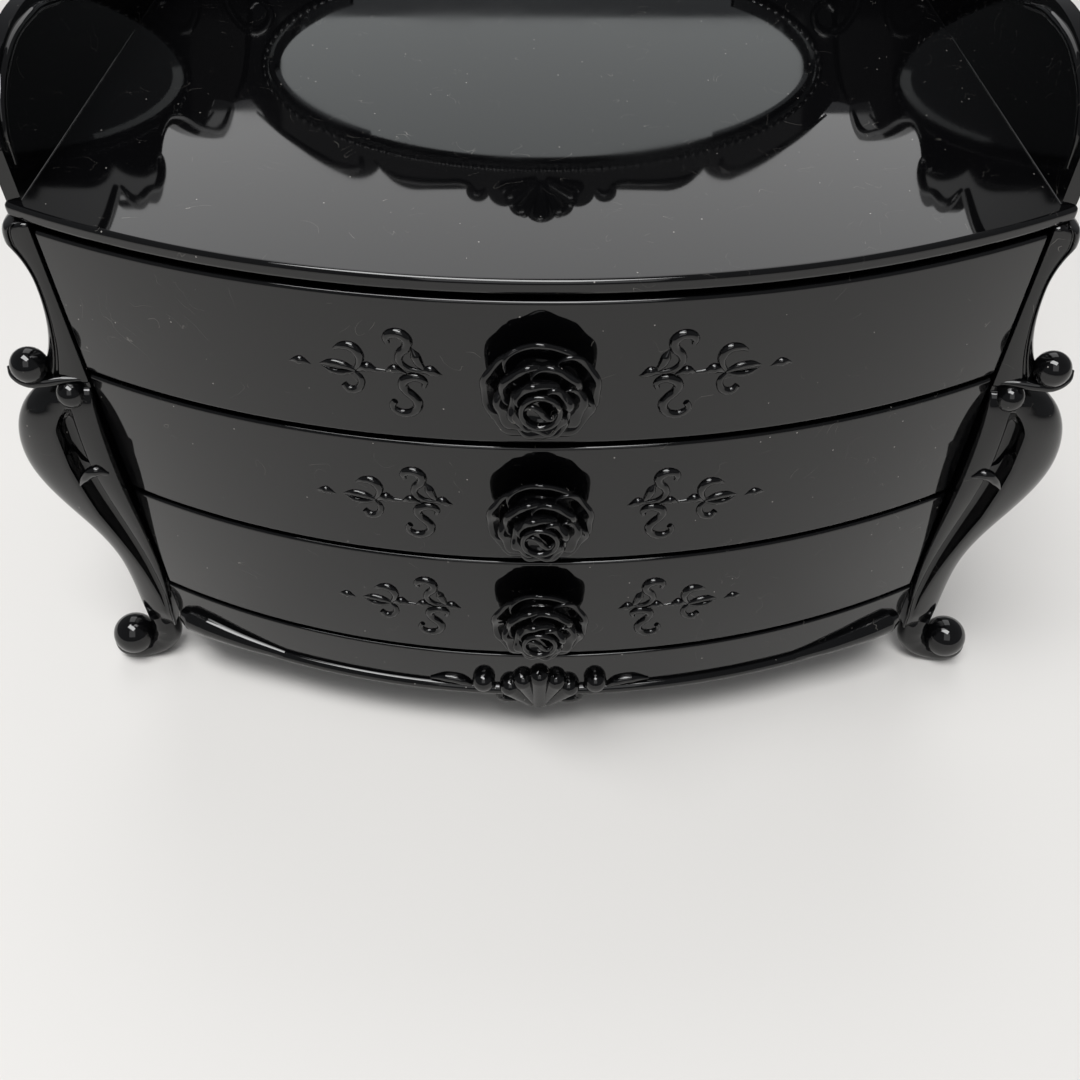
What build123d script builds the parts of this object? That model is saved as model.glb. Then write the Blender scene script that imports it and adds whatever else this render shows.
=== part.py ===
from build123d import *
import os
from math import asin, cos, degrees, pi, sin, sqrt

os.makedirs("parts", exist_ok=True)

# Driving sizes in millimetres. The front looks along -Y and the feet stand on z = 0.
bow_radius = 186.0  # curve of the drawer fronts, seen from above
body_depth = 155.0  # middle of the bowed front to the back of the chest
rose_reach = 9.5  # how far a rose knob stands out from its drawer
rose_radius = 9.5
rose_neck = 4.6
drawer_pitch = 29.6  # one drawer front and the gap above it
drawer_gap = 1.0
drawer_base = 26.5  # lower edge of the lowest drawer front
front_wall = 2.6
side_outer = 84.0  # outer face of a side panel, where the corner posts sit
end_gap = 0.5  # between the end of a drawer front and a corner post
side_wall = 2.5
top_wall = 2.7
top_overhang = 0.5  # top past the outside of the wings
shelf_wall = 2.0
floor_rise = 0.6  # a shelf stands this much above the drawer front's lower edge
groove_depth = 1.2  # shelves and back enter the sides this far
back_wall = 2.0
back_inset = 1.5
skirt_base = 16.0  # lower edge of the sides and the back
running_gap = 0.5  # between moving drawer fronts and what is fixed behind them
glide_gap = 0.3  # under a drawer tray
tray_side_gap = 0.8
tray_wall = 2.0
tray_floor = 1.6
tray_back_gap = 3.0
tray_drop = 3.5  # tray walls stop this far below the front's upper edge
slip = 0.1  # clearance of tabs, glass and screws

# Corner posts
post_depth = 9.0
post_proud = 1.0  # post face ahead of the end of the bow
strip_width = 2.4  # flat strip down the face of a post
ankle_height = 20.0
ankle_reach = 8.8
knee_height = 64.0
knee_reach = 19.0
knee_depth = 10.6
knee_lean = 1.6  # the knee swells forward of the post
knee_fall = 1.8  # a larger value thins the leg sooner below the knee
ankle_depth = 7.0
ankle_lean = 0.8
bracket_gap = 1.25  # between the top of the leg and the bracket
cap_reach = 6.0
toe_reach = 13.0
heel_turn = 3.0  # inner edge of the foot turns away from the chest
bracket_waist = 3.5
bracket_flare = 6.0
waist_share = 0.64  # height of the waist between the foot and the top of the bracket
bracket_turn = 4.0
scroll_radius = 3.75
scroll_lean = 3.2
scroll_reach = 9.9
scroll_height = 86.5
bead_radius = 2.8  # ball between the bracket and the strip of the leg
bead_reach = 3.9
foot_radius = 5.2
foot_reach = 12.8
foot_lean = 2.2

# Gallery on the top
wing_step = 1.0  # wing inner face past the side panel
wing_wall = 2.5
gallery_wall = 3.0
gallery_inset = 1.0
crest_height = 78.0
mirror_half_width = 73.5
mirror_half_height = 26.6
mirror_middle = 32.8  # above the top
mirror_wall = 1.2
mirror_recess = 1.4
mirror_bevel = 3.0
rim_width = 1.9
rim_proud = 1.2
tab_length = 9.0

# Apron under the drawers
apron_base = 12.0
apron_wall = 2.6
rod_radius = 1.4
rod_height = 13.6
flange_reach = 6.0
shell_lobes = 5
shell_reach = 14.6
shell_root = 3.4  # flutes start this far above the middle of the fan
ball_radius = 2.5
rod_end_radius = 3.0

# Screws
screw_radius = 1.2
screw_head = 2.2
screw_bite = 4.0  # length in the post
knob_screw_radius = 1.5
knob_screw_head = 3.0
knob_screw_bite = 5.5

# Worked out from the above
rear_reach = max(foot_lean + foot_radius, scroll_lean + scroll_radius, knee_lean + knee_depth / 2) - post_depth / 2
front_y = (rose_reach - body_depth - rear_reach) / 2
back_y = front_y + body_depth
bow_middle = front_y + bow_radius
side_inner = side_outer - side_wall
front_height = drawer_pitch - drawer_gap
top_under = drawer_base + 3 * drawer_pitch
top_face = top_under + top_wall
front_half = side_outer - end_gap
front_inner = bow_radius - front_wall
inset_radius = front_inner - running_gap
back_face = back_y - back_inset - back_wall
wing_inner = side_outer + wing_step
wing_outer = wing_inner + wing_wall
top_half = wing_outer + top_overhang
gallery_front = back_y - gallery_inset - gallery_wall
scroll_base = scroll_height - scroll_radius
leg_top = scroll_base - bracket_gap
waist_height = scroll_base + waist_share * (top_under - scroll_base)
drawer_names = ["bottom", "middle", "top"]


def save(piece, name):
    piece.label = name
    export_step(piece, "parts/" + name + ".step")


def bow_y(radius, x):
    return bow_middle - sqrt(radius**2 - x**2)


side_front = bow_y(front_inner, side_outer) + running_gap
post_front = bow_y(bow_radius, side_outer) - post_proud
post_middle = post_front + post_depth / 2
wing_front = bow_y(bow_radius, wing_outer) + 1.0


# A board with a bowed front edge and a straight back edge
def bow_front_board(radius, half, back, low, high, mode=Mode.ADD):
    with BuildSketch(Plane.XY.offset(low)) as outline:
        with BuildLine():
            bow = ThreePointArc((-half, bow_y(radius, half)), (0, bow_middle - radius), (half, bow_y(radius, half)))
            Polyline(bow @ 1, (half, back), (-half, back), bow @ 0)
        make_face()
    extrude(outline.sketch, amount=high - low, mode=mode)


# A board bent to the bow, with the same wall all along
def bowed_board(outer, inner, half, low, high):
    with BuildSketch(Plane.XY.offset(low)) as outline:
        with BuildLine():
            face = ThreePointArc((-half, bow_y(outer, half)), (0, bow_middle - outer), (half, bow_y(outer, half)))
            end = Line(face @ 1, (half, bow_y(inner, half)))
            rear = ThreePointArc(end @ 1, (0, bow_middle - inner), (-half, bow_y(inner, half)))
            Line(rear @ 1, face @ 0)
        make_face()
    extrude(outline.sketch, amount=high - low)


def block(x0, x1, y0, y1, z0, z1, mode=Mode.ADD):
    with Locations(((x0 + x1) / 2, (y0 + y1) / 2, (z0 + z1) / 2)):
        Box(x1 - x0, y1 - y0, z1 - z0, mode=mode)


def shelf_top(level):
    return drawer_base + level * drawer_pitch + floor_rise


# Fan of swelling flutes, spread about straight up on an upright face at y
def fan_shell(y, base_z, lobes, reach, root, spread, tip):
    for lobe in range(lobes):
        turn = spread * (lobe / (lobes - 1) - 0.5)
        length = reach - root - tip - 0.09 * reach * abs(turn) / (spread / 2)
        flute = Location((0, y, base_z), (0, turn, 0)) * Location((0, 0, root))
        with Locations(flute):
            Cone(tip * 0.45, tip, length, align=(Align.CENTER, Align.CENTER, Align.MIN))
        with Locations(flute * Location((0, 0, length))):
            Sphere(tip)


# Carcass boards: floor of the chest and the two shelves between drawers
board_names = ["bottom_panel", "shelf_lower", "shelf_upper"]
for level in range(3):
    with BuildPart() as board:
        low = shelf_top(level) - shelf_wall
        bow_front_board(inset_radius, side_inner - 0.2, back_face, low, shelf_top(level))
        for side in (-1, 1):
            edge = side * (side_inner + groove_depth)
            inner = side * (side_inner - 1.0)
            block(min(edge, inner), max(edge, inner), side_front + 2, back_face, low, shelf_top(level))
    save(board.part, board_names[level])

# Post screws stand at these heights and depths
screw_heights = [knee_height, scroll_height + 5]
screw_front = side_front + 4.0
screw_rear = post_front + back_y - screw_front


def screw_spots():
    return [(y, z) for y in (screw_front, screw_rear) for z in screw_heights]


# Countersunk post screw, pointing out through the right side panel
def post_screw(y, z, grow, mode):
    with BuildSketch(Plane.XZ.offset(-y), mode=Mode.PRIVATE) as half:
        with BuildLine():
            Polyline(
                (side_inner, z),
                (side_inner, z + screw_head + grow),
                (side_inner + screw_head - screw_radius, z + screw_radius + grow),
                (side_outer + screw_bite + grow, z + screw_radius + grow),
                (side_outer + screw_bite + grow, z),
                close=True,
            )
        make_face()
    revolve(half.sketch, axis=Axis((side_inner, y, z), (1, 0, 0)), mode=mode)


# Side panels, grooved for the boards and the back, arched between the feet
with BuildPart() as side_right:
    with BuildSketch(Plane.YZ.offset(side_inner)):
        with BuildLine():
            arch_front = side_front + 14
            arch_back = back_y - 14
            arch = ThreePointArc(
                (arch_front, skirt_base),
                ((arch_front + arch_back) / 2, skirt_base + 5.5),
                (arch_back, skirt_base),
            )
            Polyline(
                arch @ 1,
                (back_y, skirt_base),
                (back_y, top_under),
                (side_front, top_under),
                (side_front, skirt_base),
                arch @ 0,
            )
        make_face()
    extrude(amount=side_wall)
    for level in range(3):
        high = shelf_top(level)
        block(side_inner, side_inner + groove_depth, side_front + 2, back_y, high - shelf_wall, high, Mode.SUBTRACT)
    block(
        side_inner,
        side_inner + groove_depth,
        back_face,
        back_face + back_wall,
        skirt_base,
        top_under,
        Mode.SUBTRACT,
    )
    for y, z in screw_spots():
        post_screw(y, z, slip / 2, Mode.SUBTRACT)
save(side_right.part, "side_panel_right")
with BuildPart() as side_left:
    mirror(side_right.part, about=Plane.YZ)
save(side_left.part, "side_panel_left")

with BuildPart() as back_panel:
    half = side_inner + groove_depth
    block(-half, half, back_face, back_face + back_wall, skirt_base, top_under)
    with BuildSketch(Plane.XZ.offset(-back_y)):
        with BuildLine():
            arch = ThreePointArc((-half + 16, skirt_base), (0, skirt_base + 5.5), (half - 16, skirt_base))
            Line(arch @ 1, arch @ 0)
        make_face()
    extrude(amount=body_depth / 4, mode=Mode.SUBTRACT)
save(back_panel.part, "back_panel")

# All post screws are alike
with BuildPart() as screws:
    for y, z in screw_spots():
        post_screw(y, z, 0, Mode.ADD)
    mirror(about=Plane.YZ)
save(screws.part, "post_screws")


# Outward reach of the cabriole leg at a height: toe, ankle, knee, rounded cap
def leg_reach(height):
    if height > knee_height:
        rise = (height - knee_height) / (leg_top - knee_height)
        return cap_reach + (knee_reach - cap_reach) * sqrt(max(0, 1 - rise**2))
    if height > ankle_height:
        rise = (height - ankle_height) / (knee_height - ankle_height)
        return ankle_reach + (knee_reach - ankle_reach) * ((1 - cos(pi * rise)) / 2) ** knee_fall
    return ankle_reach + (toe_reach - ankle_reach) * (1 + cos(pi * height / ankle_height)) / 2


# The heel curls outward below the skirt
def heel_shift(height):
    return heel_turn * max(0, 1 - height / skirt_base) ** 2


# Flat towards the chest and on the strip, half an ellipse on the outside
def post_section(height, reach, depth, lean):
    heel = side_outer + heel_shift(height)
    edge = heel + min(strip_width, reach * 0.4)
    middle = post_middle - lean
    with BuildSketch(Plane.XY.offset(height)) as section:
        with BuildLine():
            front = middle - depth / 2
            rear = middle + depth / 2
            Polyline((edge, rear), (heel, rear), (heel, front), (edge, front))
            EllipticalCenterArc(
                (edge, middle),
                x_radius=side_outer + reach - edge,
                y_radius=depth / 2,
                start_angle=-90,
                arc_size=180,
            )
        make_face()
    return section.sketch


# Cabriole corner post with its scroll bracket above and ball foot below
with BuildPart() as post:
    stations = [ankle_height * step / 4 for step in range(4)]
    stations += [ankle_height + (knee_height - ankle_height) * step / 7 for step in range(8)]
    stations += [knee_height + (leg_top - knee_height) * sin(pi * step / 10.4) for step in range(1, 6)]
    sections = []
    for height in stations:
        swell = (leg_reach(height) - ankle_reach) / (knee_reach - ankle_reach)
        depth = ankle_depth + (knee_depth - ankle_depth) * swell
        lean = ankle_lean + (knee_lean - ankle_lean) * swell
        sections.append(post_section(height, leg_reach(height), depth, lean))
    loft(sections)
with BuildPart() as bracket:
    with BuildSketch(Plane.XZ.offset(-post_front)):
        with BuildLine():
            waist = (side_outer + bracket_waist, waist_height)
            hollow = TangentArc(waist, (side_outer + scroll_reach, scroll_base), tangent=(0, -1))
            flare = TangentArc(waist, (side_outer + bracket_flare, top_under - bracket_turn), tangent=(0, 1))
            crown = ThreePointArc(
                flare @ 1,
                (side_outer + bracket_flare + 0.2, top_under - bracket_turn * 0.4),
                (side_outer + bracket_waist, top_under),
            )
            Polyline(crown @ 1, (side_outer, top_under), (side_outer, scroll_base), hollow @ 1)
        make_face()
    extrude(amount=-post_depth)
with BuildPart() as post_front_right:
    add(post.part)
    add(bracket.part)
    neck_front = post_front + 1.0
    neck_back = post_front + post_depth
    block(side_outer, side_outer + cap_reach * 0.7, neck_front, neck_back, leg_top - 4, scroll_base + 1)
    with Locations((side_outer + scroll_reach, post_middle - scroll_lean, scroll_height)):
        Sphere(scroll_radius)
    with Locations((side_outer + bead_reach, post_front + 0.7, scroll_base - bead_radius + 0.4)):
        Sphere(bead_radius)
    with Locations((side_outer + foot_reach, post_middle - foot_lean, foot_radius)):
        Sphere(foot_radius)
    for y, z in screw_spots():
        if y < post_front + post_depth:
            post_screw(y, z, slip / 2, Mode.SUBTRACT)
post_turn = Plane.XZ.offset(-(post_front + back_y) / 2)
with BuildPart() as post_rear_right:
    mirror(post_front_right.part, about=post_turn)
with BuildPart() as post_front_left:
    mirror(post_front_right.part, about=Plane.YZ)
with BuildPart() as post_rear_left:
    mirror(post_rear_right.part, about=Plane.YZ)
save(post_front_right.part, "corner_post_front_right")
save(post_front_left.part, "corner_post_front_left")
save(post_rear_right.part, "corner_post_rear_right")
save(post_rear_left.part, "corner_post_rear_left")

# Apron: bent board with a rail for the floor of the chest, rod, balls and shell
with BuildPart() as apron:
    apron_top = drawer_base - drawer_gap
    bowed_board(bow_radius, bow_radius - apron_wall, side_outer, apron_base, apron_top)
    rail_high = shelf_top(0) - shelf_wall
    bowed_board(bow_radius - 1, bow_radius - apron_wall - flange_reach, side_inner - 1, rail_high - 2, rail_high)
    rod_half = degrees(asin((front_half - 4) / bow_radius))
    with Locations(Location((0, bow_middle, rod_height), (0, 0, -90 - rod_half))):
        Torus(bow_radius, rod_radius, major_angle=2 * rod_half, align=None)
    for side in (-1, 1):
        rod_end = side * (front_half - 4)
        with Locations((rod_end, bow_y(bow_radius, rod_end), rod_height + rod_end_radius - rod_radius)):
            Sphere(rod_end_radius)
        with Locations((side * 12.2, bow_y(bow_radius, 12.2) - 0.6, rod_height + 3.4)):
            Sphere(ball_radius)
    fan_shell(front_y - 0.3, apron_base - 5.4, shell_lobes, shell_reach, shell_root, 76, 2.3)
save(apron.part, "front_apron")

# Tabs of the gallery stand in slots of the top
wing_length = gallery_front - wing_front
wing_tabs = [wing_front + wing_length * share for share in (0.25, 0.75)]
back_tabs = [-wing_inner * 0.55, wing_inner * 0.55]

with BuildPart() as top_panel:
    bow_front_board(bow_radius, top_half, back_y, top_under, top_face)
    fillet(top_panel.edges().group_by(Axis.Z)[-1], 0.9)
    for side in (-1, 1):
        for y in wing_tabs:
            with Locations((side * (wing_inner + wing_wall / 2), y, top_under)):
                Box(wing_wall + 2 * slip, tab_length + 2 * slip, 4 * top_wall, mode=Mode.SUBTRACT)
    for x in back_tabs:
        with Locations((x, gallery_front + gallery_wall / 2, top_under)):
            Box(tab_length + 2 * slip, gallery_wall + 2 * slip, 4 * top_wall, mode=Mode.SUBTRACT)
save(top_panel.part, "top_panel")


def wing_point(share, height):
    return (wing_front + share * wing_length, top_face + height * crest_height / 78.0)


# Wing: quarter round at the front, two curls, then a long sweep up to the back
with BuildPart() as wing_right:
    with BuildSketch(Plane.YZ.offset(wing_inner)):
        with BuildLine():
            rise = Line(wing_point(0, 0), wing_point(0, 8.5))
            shoulder = ThreePointArc(rise @ 1, wing_point(0.035, 16.2), wing_point(0.10, 20.2))
            ledge = ThreePointArc(shoulder @ 1, wing_point(0.21, 22.0), wing_point(0.305, 19.7))
            curl = ThreePointArc(ledge @ 1, wing_point(0.345, 26.6), wing_point(0.405, 29.0))
            hook = ThreePointArc(curl @ 1, wing_point(0.475, 31.4), wing_point(0.517, 25.2))
            dip = ThreePointArc(hook @ 1, wing_point(0.56, 23.2), wing_point(0.633, 26.2))
            sweep_up = ThreePointArc(dip @ 1, wing_point(0.76, 36.8), wing_point(0.88, 44.2))
            crown = ThreePointArc(sweep_up @ 1, wing_point(0.94, 45.0), wing_point(1, 43.7))
            Polyline(crown @ 1, wing_point(1, 0), rise @ 0)
        make_face()
    extrude(amount=wing_wall)
    for y in wing_tabs:
        with Locations((wing_inner + wing_wall / 2, y, top_face)):
            Box(wing_wall, tab_length, 2 * (top_wall - 0.2))
save(wing_right.part, "gallery_wing_right")
with BuildPart() as wing_left:
    mirror(wing_right.part, about=Plane.YZ)
save(wing_left.part, "gallery_wing_left")


def crest_point(share, height):
    return (share * wing_outer, top_face + height * crest_height / 78.0)


# Back of the gallery: shouldered outline with a scalloped crest, recess for the oval glass
with BuildPart() as gallery_back:
    with BuildSketch(Plane.XZ.offset(-gallery_front)):
        with BuildLine():
            edge = Line(crest_point(1, 0), crest_point(1, 43.7))
            dip = ThreePointArc(edge @ 1, crest_point(0.955, 41.4), crest_point(0.914, 40.9))
            shoulder = ThreePointArc(dip @ 1, crest_point(0.787, 55.0), crest_point(0.629, 63.9))
            lobe = ThreePointArc(shoulder @ 1, crest_point(0.569, 63.2), crest_point(0.531, 60.3))
            curve = ThreePointArc(lobe @ 1, crest_point(0.487, 65.4), crest_point(0.411, 67.5))
            ledge = Line(curve @ 1, crest_point(0.252, 67.2))
            curl = ThreePointArc(ledge @ 1, crest_point(0.216, 71.2), crest_point(0.178, 69.2))
            first = ThreePointArc(curl @ 1, crest_point(0.149, 72.2), crest_point(0.110, 72.6))
            second = ThreePointArc(first @ 1, crest_point(0.089, 75.4), crest_point(0.048, 75.8))
            ThreePointArc(second @ 1, crest_point(0.027, 77.4), crest_point(0, 78.0))
            Line(crest_point(0, 0), crest_point(1, 0))
            mirror(about=Plane.YZ)
        make_face()
    extrude(amount=-gallery_wall)
    with BuildSketch(Plane.XZ.offset(-gallery_front)):
        with Locations((0, top_face + mirror_middle)):
            Ellipse(mirror_half_width + rim_width, mirror_half_height + rim_width)
    extrude(amount=rim_proud)
    rim_edges = gallery_back.edges().group_by(Axis.Y)[0]
    fillet(rim_edges, 0.7)
    with BuildSketch(Plane.XZ.offset(-(gallery_front - rim_proud))):
        with Locations((0, top_face + mirror_middle)):
            Ellipse(mirror_half_width, mirror_half_height)
    extrude(amount=-(mirror_recess + rim_proud), mode=Mode.SUBTRACT)
    fan_shell(gallery_front, top_face + crest_height - 14.5, 5, 13.6, 1.5, 130, 2.6)
    for x in back_tabs:
        with Locations((x, gallery_front + gallery_wall / 2, top_face)):
            Box(tab_length, gallery_wall, 2 * (top_wall - 0.2))
save(gallery_back.part, "gallery_back")

with BuildPart() as mirror_glass:
    with BuildSketch(Plane.XZ.offset(-(gallery_front + mirror_recess))):
        with Locations((0, top_face + mirror_middle)):
            Ellipse(mirror_half_width - slip, mirror_half_height - slip)
    extrude(amount=mirror_wall)
    chamfer(mirror_glass.edges().group_by(Axis.Y)[0], mirror_wall * 0.5, mirror_bevel)
save(mirror_glass.part, "gallery_mirror")

# Round form of the rose, facing +Z: from the calyx at the given radius up to the dome
def rose_form(low, neck, height, radius):
    with BuildPart() as form:
        with BuildSketch(Plane.XZ):
            with BuildLine():
                foot = Polyline((0, low), (neck, low), (neck, rose_reach * 0.19))
                calyx = ThreePointArc(
                    foot @ 1,
                    (neck + (radius - neck) * 0.6, rose_reach * 0.25),
                    (radius, rose_reach * 0.45),
                )
                dome = ThreePointArc(calyx @ 1, (radius * 0.72, height * 0.84), (0, height))
                Line(dome @ 1, foot @ 0)
            make_face()
        revolve(axis=Axis.Z)
    return form.part


# Cupped petal: a ball less the same ball shifted to the middle, trimmed to the dome
def petal(reach, size, wall, height):
    with BuildPart() as leaf:
        with Locations((reach, 0, height)):
            Sphere(size)
        with Locations((reach - wall, 0, height + wall * 0.3)):
            Sphere(size, mode=Mode.SUBTRACT)
        add(rose_form(rose_reach * 0.16, rose_neck * 0.8, rose_reach, rose_radius), mode=Mode.INTERSECT)
    return leaf.part


# Rose knob: three rings of petals round a bud
with BuildPart() as rose:
    add(rose_form(0, rose_neck, rose_reach * 0.75, rose_radius * 0.88))
    for ring in range(3):
        count = 5 - ring
        size = rose_radius * (0.57 - 0.14 * ring)
        leaf = petal(rose_radius * (1.02 - 0.26 * ring) - size, size, 1.2 - 0.1 * ring, rose_reach * (0.48 + 0.11 * ring))
        for spot in range(count):
            add(leaf.rotate(Axis.Z, 360 * spot / count + 50 * ring))
    with Locations((0, 0, rose_reach * 0.49)):
        Cylinder(rose_radius * 0.12, rose_reach * 0.98)
    Cylinder(knob_screw_radius + slip / 2, 2 * (knob_screw_bite + slip), mode=Mode.SUBTRACT)

# Drawers: bowed front, tray behind it, rose knob and the screw that clamps all three
for level in range(3):
    name = drawer_names[level]
    low = drawer_base + level * drawer_pitch
    middle = low + front_height / 2
    with BuildPart() as drawer_front:
        bowed_board(bow_radius, front_inner, front_half, low, low + front_height)
        fillet(drawer_front.faces().sort_by(Axis.Y)[0].edges(), 0.7)
        with Locations(Location((0, front_y, middle), (90, 0, 0))):
            Cylinder(knob_screw_radius + slip, 4 * front_wall, mode=Mode.SUBTRACT)
    save(drawer_front.part, "drawer_front_" + name)

    with BuildPart() as tray:
        tray_half = side_inner - tray_side_gap
        tray_back = back_face - tray_back_gap
        tray_low = shelf_top(level) + glide_gap
        tray_high = low + front_height - tray_drop
        bow_front_board(front_inner, tray_half, tray_back, tray_low, tray_high)
        fillet(tray.edges().filter_by(Axis.Z).group_by(Axis.Y)[-1], 4.0)
        bow_front_board(
            front_inner - tray_wall,
            tray_half - tray_wall,
            tray_back - tray_wall,
            tray_low + tray_floor,
            tray_high + 1,
            Mode.SUBTRACT,
        )
        with Locations(Location((0, front_y + front_wall, middle), (90, 0, 0))):
            Cylinder(knob_screw_radius + slip, 4 * tray_wall, mode=Mode.SUBTRACT)
    save(tray.part, "drawer_tray_" + name)

    with BuildPart() as knob:
        add(rose.part.moved(Location((0, front_y, middle), (90, 0, 0))))
    save(knob.part, "rose_knob_" + name)

    with BuildPart() as knob_screw:
        seat = front_y + front_wall + tray_wall + slip / 2
        with Locations(Location((0, seat, middle), (90, 0, 0))):
            Cylinder(
                knob_screw_radius,
                seat - front_y + knob_screw_bite,
                align=(Align.CENTER, Align.CENTER, Align.MIN),
            )
            Cylinder(knob_screw_head, 1.8, align=(Align.CENTER, Align.CENTER, Align.MAX))
        fillet(knob_screw.edges().group_by(Axis.Y)[-1], 1.0)
    save(knob_screw.part, "knob_screw_" + name)
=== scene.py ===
import bpy
import bmesh
import math
from mathutils import Matrix, Vector


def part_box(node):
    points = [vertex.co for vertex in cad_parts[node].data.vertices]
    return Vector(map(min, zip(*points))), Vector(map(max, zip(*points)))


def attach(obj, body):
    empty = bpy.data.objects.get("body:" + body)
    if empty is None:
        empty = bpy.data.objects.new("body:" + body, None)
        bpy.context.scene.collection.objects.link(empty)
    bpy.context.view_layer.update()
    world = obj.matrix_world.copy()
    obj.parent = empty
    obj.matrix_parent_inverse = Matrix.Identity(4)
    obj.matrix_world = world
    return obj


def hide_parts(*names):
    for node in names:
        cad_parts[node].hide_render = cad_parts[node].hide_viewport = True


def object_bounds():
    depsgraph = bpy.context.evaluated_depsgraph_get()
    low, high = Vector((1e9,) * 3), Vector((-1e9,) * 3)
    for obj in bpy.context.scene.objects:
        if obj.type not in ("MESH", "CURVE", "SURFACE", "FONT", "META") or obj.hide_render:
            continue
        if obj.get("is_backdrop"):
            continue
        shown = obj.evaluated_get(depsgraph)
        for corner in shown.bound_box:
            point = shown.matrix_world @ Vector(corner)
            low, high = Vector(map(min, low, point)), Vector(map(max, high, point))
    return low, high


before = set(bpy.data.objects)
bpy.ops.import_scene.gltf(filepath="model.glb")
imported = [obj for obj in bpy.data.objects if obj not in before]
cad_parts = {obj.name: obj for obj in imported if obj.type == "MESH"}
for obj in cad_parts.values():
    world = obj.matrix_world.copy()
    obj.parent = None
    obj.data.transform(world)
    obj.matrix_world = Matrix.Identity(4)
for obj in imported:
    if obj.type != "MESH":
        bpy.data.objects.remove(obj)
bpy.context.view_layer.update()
mm = 0.001
print("frame loaded")


# sRGB hex to linear colour
def hexColor(text):
    parts = [int(text[i:i + 2], 16) / 255 for i in (1, 3, 5)]
    return [p / 12.92 if p <= 0.04045 else ((p + 0.055) / 1.055) ** 2.4 for p in parts] + [1.0]


# one node with its settings; each link is input: (node, output)
def addNode(tree, kind, settings=None, links=None):
    node = tree.nodes.new(kind)
    for key, value in (settings or {}).items():
        if isinstance(key, str) and hasattr(node, key):
            setattr(node, key, value)
        else:
            node.inputs[key].default_value = value
    for key, source in (links or {}).items():
        tree.links.new(source[0].outputs[source[1]], node.inputs[key])
    return node


def newMaterial(name):
    made = bpy.data.materials.new(name)
    made.use_nodes = True
    return made, made.node_tree, made.node_tree.nodes["Principled BSDF"]


# a pattern's scale from its size in millimetres
def perMetre(size):
    return 1 / (size * mm)


# moulded and polished abs: nearly black, with sharp reflections that smears, hairlines and dust break up
def blackGloss():
    look = {
        "body": "#070708", "hairline": "#6d6a66", "dust": "#8f8c88", "ior": 1.53,
        "smearSize": 22.22, "smearLow": 0.35, "smearHigh": 0.75, "cleanRough": 0.02, "smearRough": 0.06,
        "hairSize": 14.29, "hairBend": 2.5, "hairLevel": 0.5, "hairWidth": 0.0009,
        "breakSize": 6.25, "breakLevel": 0.6,
        "dustSpacing": 1.613, "speckSize": 0.09, "speckLevel": 0.93,
    }
    # hairlines and specks are drawn coarser than real ones, so that they show
    made, tree, shader = newMaterial("gloss black abs plastic")
    spread = {"Vector": (addNode(tree, "ShaderNodeTexCoord"), "Object")}
    smear = addNode(tree, "ShaderNodeTexNoise", {"Scale": perMetre(look["smearSize"]), "Detail": 4.0}, spread)
    gloss = addNode(tree, "ShaderNodeMapRange",
                    {1: look["smearLow"], 2: look["smearHigh"], 3: look["cleanRough"], 4: look["smearRough"]},
                    {"Value": (smear, 0)})
    swirl = addNode(tree, "ShaderNodeTexNoise",
                    {"Scale": perMetre(look["hairSize"]), "Detail": 1.0, "Distortion": look["hairBend"]},
                    spread)
    line = addNode(tree, "ShaderNodeMath", {"operation": "SUBTRACT", 1: look["hairLevel"]}, {0: (swirl, 0)})
    line = addNode(tree, "ShaderNodeMath", {"operation": "ABSOLUTE"}, {0: (line, 0)})
    line = addNode(tree, "ShaderNodeMath", {"operation": "LESS_THAN", 1: look["hairWidth"]}, {0: (line, 0)})
    keep = addNode(tree, "ShaderNodeTexNoise", {"Scale": perMetre(look["breakSize"])}, spread)
    keep = addNode(tree, "ShaderNodeMath", {"operation": "GREATER_THAN", 1: look["breakLevel"]},
                   {0: (keep, 0)})
    hair = addNode(tree, "ShaderNodeMath", {"operation": "MULTIPLY"}, {0: (line, 0), 1: (keep, 0)})
    cells = addNode(tree, "ShaderNodeTexVoronoi", {"Scale": perMetre(look["dustSpacing"])}, spread)
    speck = addNode(tree, "ShaderNodeMath", {"operation": "LESS_THAN", 1: look["speckSize"]},
                    {0: (cells, "Distance")})
    pick = addNode(tree, "ShaderNodeSeparateColor", None, {0: (cells, "Color")})
    pick = addNode(tree, "ShaderNodeMath", {"operation": "GREATER_THAN", 1: look["speckLevel"]},
                   {0: (pick, 0)})
    dust = addNode(tree, "ShaderNodeMath", {"operation": "MULTIPLY"}, {0: (speck, 0), 1: (pick, 0)})
    scratched = addNode(tree, "ShaderNodeMix",
                        {"data_type": "RGBA", 6: hexColor(look["body"]), 7: hexColor(look["hairline"])},
                        {0: (hair, 0)})
    tone = addNode(tree, "ShaderNodeMix", {"data_type": "RGBA", 7: hexColor(look["dust"])},
                   {0: (dust, 0), 6: (scratched, 2)})
    tree.links.new(tone.outputs[2], shader.inputs["Base Color"])
    tree.links.new(gloss.outputs[0], shader.inputs["Roughness"])
    shader.inputs["IOR"].default_value = look["ior"]
    return made


# float glass silvered behind: full clear reflection, slightly cool
def mirrorGlass():
    made, _, shader = newMaterial("silvered mirror glass")
    shader.inputs["Base Color"].default_value = hexColor("#e4e8e8")
    shader.inputs["Metallic"].default_value = 1.0
    shader.inputs["Roughness"].default_value = 0.02
    return made


# zinc plating: dull grey metal on the hidden screws
def zincSteel():
    made, _, shader = newMaterial("zinc plated steel")
    shader.inputs["Base Color"].default_value = hexColor("#b9b8b4")
    shader.inputs["Metallic"].default_value = 1.0
    shader.inputs["Roughness"].default_value = 0.32
    return made


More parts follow.
